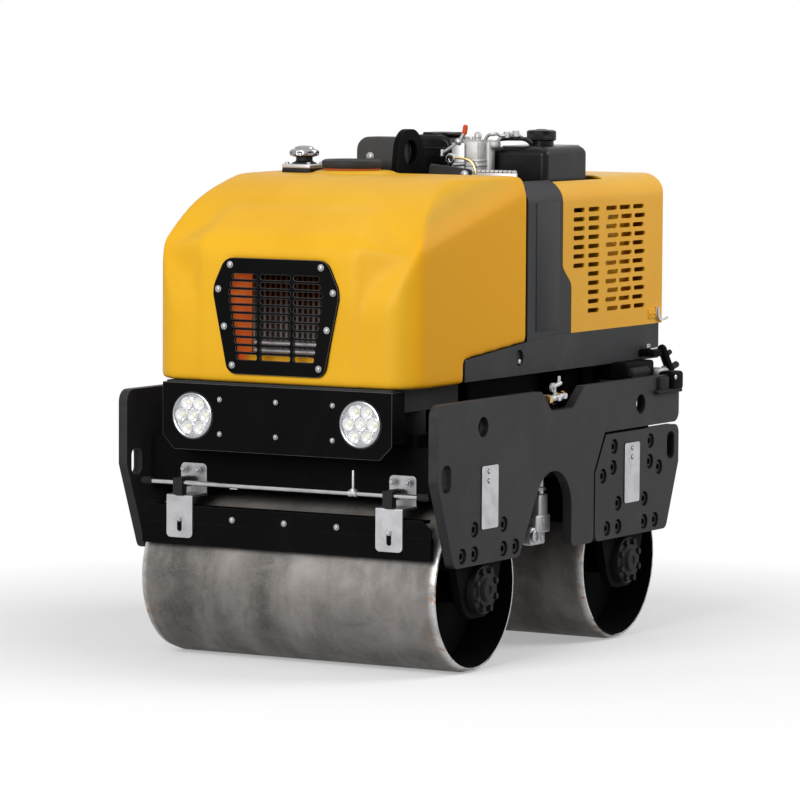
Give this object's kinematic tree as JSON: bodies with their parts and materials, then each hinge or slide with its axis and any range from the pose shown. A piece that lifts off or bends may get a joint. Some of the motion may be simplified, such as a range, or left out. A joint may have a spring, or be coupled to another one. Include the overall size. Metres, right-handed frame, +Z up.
{
  "type": "walk-behind road roller",
  "caption": "Walk-behind duplex vibratory roller: smooth steel drums in thick side plates, water-tank cowl with slotted grille and lamps, engine under a slotted hood, folding drawbar behind",
  "frame": {"origin": "On the ground, under the middle of the bounding box", "axes": "-Y is the front with the grille and lamps, +X is the machine's left side, +Z is up"},
  "size_m": [0.96, 1.7419, 1.361],
  "materials": {
    "yellow_paint": "semi-gloss",
    "yellow_plastic": "semi-gloss",
    "black_paint": "satin",
    "plate_paint": "satin",
    "grey_paint": "satin",
    "grey_plastic": "matte",
    "black_plastic": "matte",
    "rubber": "matte",
    "drum_steel": "bare, ground",
    "zinc_steel": "zinc plated",
    "chrome": "polished",
    "aluminium": "plain",
    "engine_grey": "painted cast iron"
  },
  "bodies": {
    "frame": {"side_plate_left": "plate_paint", "side_plate_right": "plate_paint", "rear_plate_left": "plate_paint", "rear_plate_right": "plate_paint", "label_plates": "aluminium", "lower_frame": "black_paint", "rubber_buffers": "rubber", "drum_hangers": "black_paint", "hub_covers": "zinc_steel", "front_scraper": "black_paint", "rear_scraper": "black_paint", "scraper_strips": "black_plastic", "scraper_straps": "zinc_steel", "spray_rods": "chrome", "spray_clips": "black_plastic", "inner_scrapers": "zinc_steel", "water_valve": "zinc_steel", "upper_frame": "grey_paint", "lamp_panel": "black_paint", "headlamps": "chrome", "water_tank": "yellow_plastic", "front_grille": "black_paint", "oil_cooler": "aluminium", "filler_lid": "black_plastic", "breather_flange": "aluminium", "breather_cap": "chrome", "mid_covers": "grey_plastic", "engine_hood": "yellow_paint", "hood_catches": "zinc_steel", "engine_block": "engine_grey", "engine_head": "aluminium", "air_filter": "black_plastic", "fuel_tank": "black_plastic", "fuel_cap": "chrome", "muffler": "zinc_steel", "lifting_post": "black_paint", "lifting_eye": "black_paint", "drawbar_bracket": "black_paint"},
    "front_roll": {"front_drum": "drum_steel", "front_drum_ends": "black_paint"},
    "rear_roll": {"rear_drum": "drum_steel", "rear_drum_ends": "black_paint"},
    "guide": {"drawbar": "yellow_paint", "drawbar_pin": "zinc_steel", "guide_loop": "black_paint", "control_box": "black_plastic", "travel_lever": "black_plastic"}
  },
  "joints": [
    {"name": "front_drum_spin", "type": "hinge", "parent": "frame", "child": "front_roll", "pos_m": [0, -0.60995, 0.213], "axis": [1, 0, 0], "continuous": true},
    {"name": "rear_drum_spin", "type": "hinge", "parent": "frame", "child": "rear_roll", "pos_m": [0, 0.18005, 0.213], "axis": [1, 0, 0], "continuous": true},
    {"name": "drawbar_fold", "type": "hinge", "parent": "frame", "child": "guide", "pos_m": [0, 0.54505, 0.6], "axis": [1, 0, 0], "range_deg": [-25, 12]}
  ]
}
